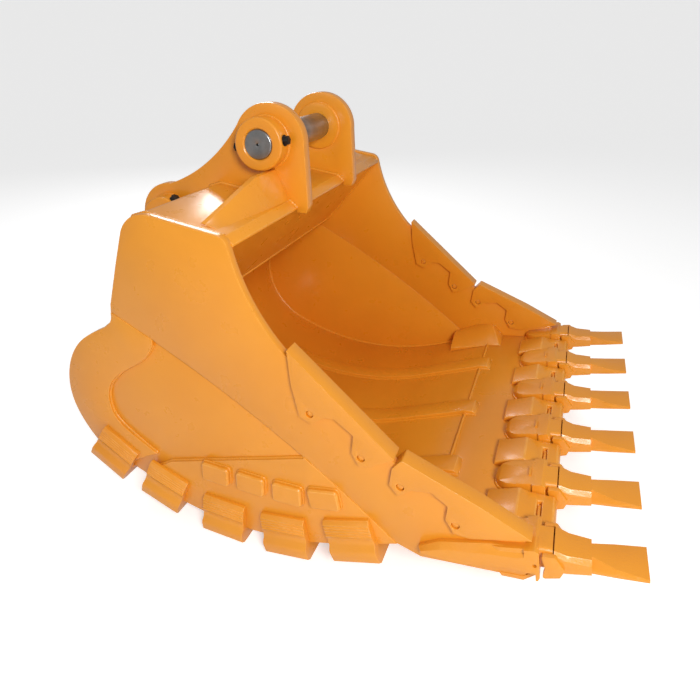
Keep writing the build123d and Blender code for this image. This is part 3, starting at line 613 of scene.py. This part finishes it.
swept = node(
    bead,
    "GeometryNodeCurveToMesh",
    Curve=wandered.outputs["Geometry"],
    Profile_Curve=section.outputs["Curve"],
    Scale=thickness.outputs["Value"],
    Fill_Caps=True,
)
smooth = node(bead, "GeometryNodeSetShadeSmooth", Geometry=swept.outputs["Mesh"])
real = node(bead, "GeometryNodeRealizeInstances", Geometry=smooth.outputs["Geometry"])
dressed = node(
    bead,
    "GeometryNodeSetMaterial",
    Geometry=real.outputs["Geometry"],
    Material=start.outputs["Finish"],
)
bead.links.new(dressed.outputs["Geometry"], end.inputs["Bead"])


# %% Laying beads
RIPPLE_PITCH = 0.012
RIPPLE_DEPTH = 0.10
WANDER = 0.0012


def lay_beads(name, paths, size, closed=False):
    """Beads along a list of paths, baked to one plain mesh on the bucket."""
    curve = bpy.data.curves.new(name, "CURVE")
    curve.dimensions = "3D"
    for path in paths:
        spline = curve.splines.new("POLY")
        spline.points.add(len(path) - 1)
        for point, at in zip(spline.points, path):
            point.co = (*at, 1.0)
        spline.use_cyclic_u = closed
    line = bpy.data.objects.new(name + "_path", curve)
    bpy.context.scene.collection.objects.link(line)
    modifier = line.modifiers.new("bead", "NODES")
    modifier.node_group = bead
    ids = {s.name: s.identifier for s in bead.interface.items_tree if s.in_out == "INPUT"}
    modifier[ids["Size"]] = size
    modifier[ids["Ripple Pitch"]] = RIPPLE_PITCH
    modifier[ids["Ripple Depth"]] = RIPPLE_DEPTH
    modifier[ids["Wander"]] = WANDER
    modifier[ids["Finish"]] = weld_paint
    bpy.context.view_layer.update()
    ready = line.evaluated_get(bpy.context.evaluated_depsgraph_get())
    mesh = bpy.data.meshes.new_from_object(ready)
    bpy.data.objects.remove(line)
    piece = shown(name, mesh, weld_paint)
    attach(piece, "bucket")
    print(name, "faces:", len(mesh.polygons))
    return piece


# %% [markdown]
# The paths are the joints between plates, so they come from the bucket's own
# geometry: the rolled heel, the long floor arc, the straight floor and the lip,
# which is set at its own angle. A few functions say where a point of each is.

# %% Reference curves of the bucket, in metres
HEEL_C = (-0.196, -0.902)
HEEL_R = 0.338
HEEL_TURN = 246.3
FLOOR_R = 1.075
FLOOR_TURN = 292.5
FLOOR_SLOPE = math.radians(22.5)
LIP_ANGLE = math.radians(9.0)
LIP_X = 0.785
SHELL_T = 0.025
INNER = 0.730
LOWER_FACE = 0.748
WEAR_FACE = 0.762
EAR_FACES = (0.222, 0.266)
DECK_REAR = (-0.170, -0.167)
DECK_FALL = (-0.034, 0.250)
DECK_DROP = 0.006
HEEL_START = 82.0
BACK_FOOT = 112.0
SIDES = (-1, 1)


def polar(centre, radius, degrees):
    turn = math.radians(degrees)
    return centre[0] + radius * math.cos(turn), centre[1] + radius * math.sin(turn)


FLOOR_C = polar(HEEL_C, HEEL_R - FLOOR_R, HEEL_TURN)
FLOOR_FRONT = polar(FLOOR_C, FLOOR_R, FLOOR_TURN)
LIP_Z = FLOOR_FRONT[1] + (LIP_X - FLOOR_FRONT[0]) * math.tan(FLOOR_SLOPE)


def lip_point(u, v):
    """Point u forward along the lip's top from its rear edge and v above it."""
    c, s = math.cos(LIP_ANGLE), math.sin(LIP_ANGLE)
    return LIP_X + u * c - v * s, LIP_Z + u * s + v * c


def deck_point(u, v):
    """Point u forward along the top plate and v above its face."""
    slope = math.atan2(*DECK_FALL)
    v -= DECK_DROP
    c, s = math.cos(slope), math.sin(slope)
    return DECK_REAR[0] + u * c - v * s, DECK_REAR[1] + u * s + v * c


def arc(centre, radius, first, last, count=48):
    step = (last - first) / (count - 1)
    return [polar(centre, radius, first + i * step) for i in range(count)]


def bowl(depth, first=HEEL_START):
    """The rolled heel, the floor arc and the straight floor as one line."""
    line = arc(HEEL_C, HEEL_R + depth, first, HEEL_TURN)
    line += arc(FLOOR_C, FLOOR_R + depth, HEEL_TURN, FLOOR_TURN)[1:]
    line.append(lip_point(0.0, -depth))
    return line


def at_y(line, y):
    return [(x, y, z) for x, z in line]


def three_point(a, b, c, count=40):
    """Circle through three points, as a list of points from a to c."""
    ax, az, bx, bz, cx, cz = *a, *b, *c
    d = 2 * (ax * (bz - cz) + bx * (cz - az) + cx * (az - bz))
    aa, bb, cc = ax * ax + az * az, bx * bx + bz * bz, cx * cx + cz * cz
    ux = (aa * (bz - cz) + bb * (cz - az) + cc * (az - bz)) / d
    uz = (aa * (cx - bx) + bb * (ax - cx) + cc * (bx - ax)) / d
    radius = math.hypot(ax - ux, az - uz)
    first = math.degrees(math.atan2(az - uz, ax - ux))
    last = math.degrees(math.atan2(cz - uz, cx - ux))
    middle = math.degrees(math.atan2(bz - uz, bx - ux))
    if not min(first, last) < middle < max(first, last):
        last += 360.0 if last < first else -360.0
    return arc((ux, uz), radius, first, last, count)


def smooth_line(points, steps=8):
    """Catmull-Rom curve through points."""
    ends = [points[0], *points, points[-1]]
    line = []
    for p0, p1, p2, p3 in zip(ends, ends[1:], ends[2:], ends[3:]):
        for i in range(steps):
            t = i / steps
            line.append(
                tuple(
                    0.5
                    * (
                        2 * b
                        + (c - a) * t
                        + (2 * a - 5 * b + 4 * c - d) * t * t
                        + (3 * b - a - 3 * c + d) * t**3
                    )
                    for a, b, c, d in zip(p0, p1, p2, p3)
                )
            )
    line.append(points[-1])
    return line


# %% Beads inside the bucket
FRONT_TOP = deck_point(0.288, -0.030)
HEEL_TOP = polar(HEEL_C, HEEL_R, HEEL_START)
inside = []
for side in SIDES:
    inside.append(at_y([FRONT_TOP, *bowl(0.0)], side * (INNER - 0.001)))
lay_beads("weld_inside_corners", inside, 0.007)
across = [
    [(x, -INNER, z), (x, INNER, z)]
    for x, z in (lip_point(-0.001, 0.0), HEEL_TOP, FRONT_TOP)
]
lay_beads("weld_across_the_inside", across, 0.006)

# %% Beads on the outer sides
SEAM_FRONT_X = 0.700
seam_front = (
    SEAM_FRONT_X,
    FLOOR_FRONT[1]
    + (SEAM_FRONT_X - FLOOR_FRONT[0]) * math.tan(FLOOR_SLOPE)
    - SHELL_T / math.cos(FLOOR_SLOPE),
)
seam = three_point(seam_front, (0.164, -0.806), (-0.375, -0.544))
lay_beads("weld_side_seams", [at_y(seam, s * (LOWER_FACE + 0.001)) for s in SIDES], 0.0075)

band = smooth_line(
    [
        (-0.206, -0.639),
        (-0.262, -0.712),
        (-0.370, -0.790),
        (-0.436, -0.880),
        (-0.425, -0.989),
        (-0.317, -1.073),
        (-0.246, -1.112),
    ]
)
band.append((-0.372, -1.185))
plate = [(-0.291, -1.231), (-0.235, -1.164), (-0.176, -1.126), (0.368, -0.938)]
wear = []
for side in SIDES:
    wear.append(at_y(band, side * (LOWER_FACE + 0.002)))
    wear.append(at_y(plate, side * (LOWER_FACE + 0.002)))
lay_beads("weld_wear_plates", wear, 0.006)
rim = [at_y(bowl(SHELL_T, first=BACK_FOOT), side * (INNER - 0.001)) for side in SIDES]
lay_beads("weld_shell_rims", rim, 0.006)

# %% Beads at the ears and on the torque box
BOSS_BEAD_R = 0.0955
DECK_NOSE = deck_point(0.300, -0.020)
BOX_REAR = polar(HEEL_C, HEEL_R + SHELL_T, BACK_FOOT)
DECK_LINE = [
    deck_point(0.268, 0.0),
    deck_point(-0.030, 0.0),
    deck_point(-0.078, -0.024),
    BOX_REAR,
]
ears = []
for side in SIDES:
    for face in EAR_FACES:
        ears.append(at_y([DECK_NOSE, *DECK_LINE], side * face))
lay_beads("weld_ear_feet", ears, 0.008)
rings = []
for side in SIDES:
    for centre in ((0.0, 0.0), LINK_PIN_AT):
        for face in EAR_FACES:
            rings.append(at_y(arc(centre, BOSS_BEAD_R, 0.0, 352.0, 56), side * face))
lay_beads("weld_boss_rings", rings, 0.006, closed=True)
box = [at_y(DECK_LINE, side * (INNER - 0.001)) for side in SIDES]
box.append([(BOX_REAR[0], -INNER, BOX_REAR[1]), (BOX_REAR[0], INNER, BOX_REAR[1])])
lay_beads("weld_torque_box", box, 0.007)

# %% [markdown]
# The strips, adapters and small wear blocks are welded all round. Their
# beads run at the foot of each: along both edges of a strip, along the sides
# and round the end of an adapter's strap, and as a closed loop round a wear
# block.

# %% Beads round the strips, adapters and wear blocks
STRIP_SPACING = 0.395
STRIP_EDGE = 0.0455
STRIP_START = 254.0
STRIP_ON_LIP = 0.046
strips = []
for row in (-1, 0, 1):
    line = arc(FLOOR_C, FLOOR_R, STRIP_START, FLOOR_TURN)
    line += [lip_point(0.0, 0.0), lip_point(STRIP_ON_LIP, 0.0)]
    for hand in SIDES:
        strips.append(at_y(line, row * STRIP_SPACING + hand * STRIP_EDGE))
lay_beads("weld_floor_strips", strips, 0.005)

TOOTH_COUNT = 6
TOOTH_PITCH = 0.2885
COLLAR_REAR = 0.300
STRAP_MIDDLE = 0.240        # centre of the strap's round end, along the lip
STRAP_EDGE = 0.065
strap_outline = [(COLLAR_REAR, STRAP_EDGE), (STRAP_MIDDLE, STRAP_EDGE)]
strap_outline += [
    polar((STRAP_MIDDLE, 0.0), STRAP_EDGE, 90.0 + 12.0 * turn) for turn in range(1, 15)
]
strap_outline += [(STRAP_MIDDLE, -STRAP_EDGE), (COLLAR_REAR, -STRAP_EDGE)]
straps = []
for index in range(TOOTH_COUNT):
    y = (index - (TOOTH_COUNT - 1) / 2) * TOOTH_PITCH
    loop = []
    for u, across_y in strap_outline:
        if abs(y + across_y) < INNER:
            x, z = lip_point(u, 0.001)
            loop.append((x, y + across_y, z))
    straps.append(loop)
lay_beads("weld_adapter_straps", straps, 0.006)

WEAR_BLOCKS = (           # degrees on the floor arc, height above it, tilt
    (265.1, 0.1929, 0.0),
    (274.4, 0.1975, 0.0),
    (283.6, 0.1810, 3.0),
    (292.3, 0.1640, 13.0),
)
BLOCK_STRAIGHT = (0.042, 0.024)     # half lengths of the straight sides
BLOCK_ROUND = 0.0145
blocks = []
for turn, above, tilt in WEAR_BLOCKS:
    x, z = polar(FLOOR_C, FLOOR_R - above, turn)
    c, s = math.cos(math.radians(tilt)), math.sin(math.radians(tilt))
    for side in SIDES:
        loop = []
        for degrees in range(0, 360, 15):
            a = math.radians(degrees + 0.5)
            u = math.copysign(BLOCK_STRAIGHT[0], math.cos(a)) + BLOCK_ROUND * math.cos(a)
            v = math.copysign(BLOCK_STRAIGHT[1], math.sin(a)) + BLOCK_ROUND * math.sin(a)
            loop.append((x + u * c - v * s, side * (WEAR_FACE + 0.001), z + u * s + v * c))
        blocks.append(loop)
lay_beads("weld_wear_blocks", blocks, 0.0045, closed=True)

# %% [markdown]
# The studio is a pale floor that sweeps up into its own backdrop, so no line
# shows where one ends and the other begins. The profile is drawn once and spun
# round the bucket, which keeps it plain from every side. The sky is dim and most
# of the light comes from lamps, so flat tops stay as deep in colour as upright
# plates. A dim sky would leave the floor grey, so the floor also glows, mostly
# for the camera: a Light Path node keeps that glow from washing out the paint.

# %% Floor and backdrop
floor_z = cad_box[0][2]
FLAT_R = 9.0
SWEEP_R = 24.0
SWEEP_H = 9.0
RINGS = 16
TURNS = 96
profile = [(0.0, 0.0), (FLAT_R, 0.0)]
for ring in range(1, RINGS + 1):
    share = ring / RINGS
    profile.append((FLAT_R + share * (SWEEP_R - FLAT_R), SWEEP_H * share * share))
corners = [(0.0, 0.0, floor_z)]
for radius, rise in profile[1:]:
    for turn in range(TURNS):
        x, y = polar((0.0, 0.0), radius, 360.0 * turn / TURNS)
        corners.append((x, y, floor_z + rise))
faces = [(0, 1 + turn, 1 + (turn + 1) % TURNS) for turn in range(TURNS)]
for ring in range(len(profile) - 2):
    near, far = 1 + ring * TURNS, 1 + (ring + 1) * TURNS
    for turn in range(TURNS):
        after = (turn + 1) % TURNS
        faces.append((near + turn, far + turn, far + after, near + after))
floor_mesh = bpy.data.meshes.new("studio_floor")
floor_mesh.from_pydata(corners, [], faces)
floor_mesh.shade_smooth()
floor_paint = bpy.data.materials.new("studio_floor")
floor_paint.use_nodes = True
floor_shader = floor_paint.node_tree.nodes["Principled BSDF"]
floor_shader.inputs["Base Color"].default_value = (0.86, 0.86, 0.86, 1.0)
floor_shader.inputs["Roughness"].default_value = 0.9
floor_shader.inputs["Specular IOR Level"].default_value = 0.1
floor_shader.inputs["Emission Color"].default_value = (1.0, 1.0, 1.0, 1.0)
light_path = floor_paint.node_tree.nodes.new("ShaderNodeLightPath")
glow = node(
    floor_paint.node_tree,
    "ShaderNodeMapRange",
    Value=light_path.outputs["Is Camera Ray"],
    To_Min=0.06,
    To_Max=0.50,
)
floor_paint.node_tree.links.new(
    glow.outputs["Result"], floor_shader.inputs["Emission Strength"]
)
shown("studio_floor", floor_mesh, floor_paint)

# %% Sky and lamps
world = bpy.data.worlds.new("studio_sky")
world.use_nodes = True
sky = world.node_tree.nodes["Background"]
sky.inputs["Color"].default_value = (1.0, 1.0, 1.0, 1.0)
sky.inputs["Strength"].default_value = 0.34
bpy.context.scene.world = world


def lamp(name, at, towards, size, power):
    data = bpy.data.lights.new(name, "AREA")
    data.shape = "SQUARE"
    data.size = size
    data.energy = power
    light = bpy.data.objects.new(name, data)
    light.location = at
    aim = Vector(towards) - Vector(at)
    light.rotation_euler = aim.to_track_quat("-Z", "Y").to_euler()
    bpy.context.scene.collection.objects.link(light)


MIDDLE = (0.2, 0.0, -0.7)
lamp("key_lamp", (2.2, -3.0, 1.2), MIDDLE, 1.0, 104.0)
lamp("side_lamp", (-1.8, -4.6, 1.6), MIDDLE, 1.4, 7.0)
lamp("overhead_lamp", (-0.2, 0.4, 3.4), MIDDLE, 0.9, 18.0)
lamp("back_lamp", (-2.6, 3.6, 2.2), MIDDLE, 1.2, 64.0)

scene = bpy.context.scene
scene.view_settings.view_transform = "Standard"
scene.view_settings.look = "None"
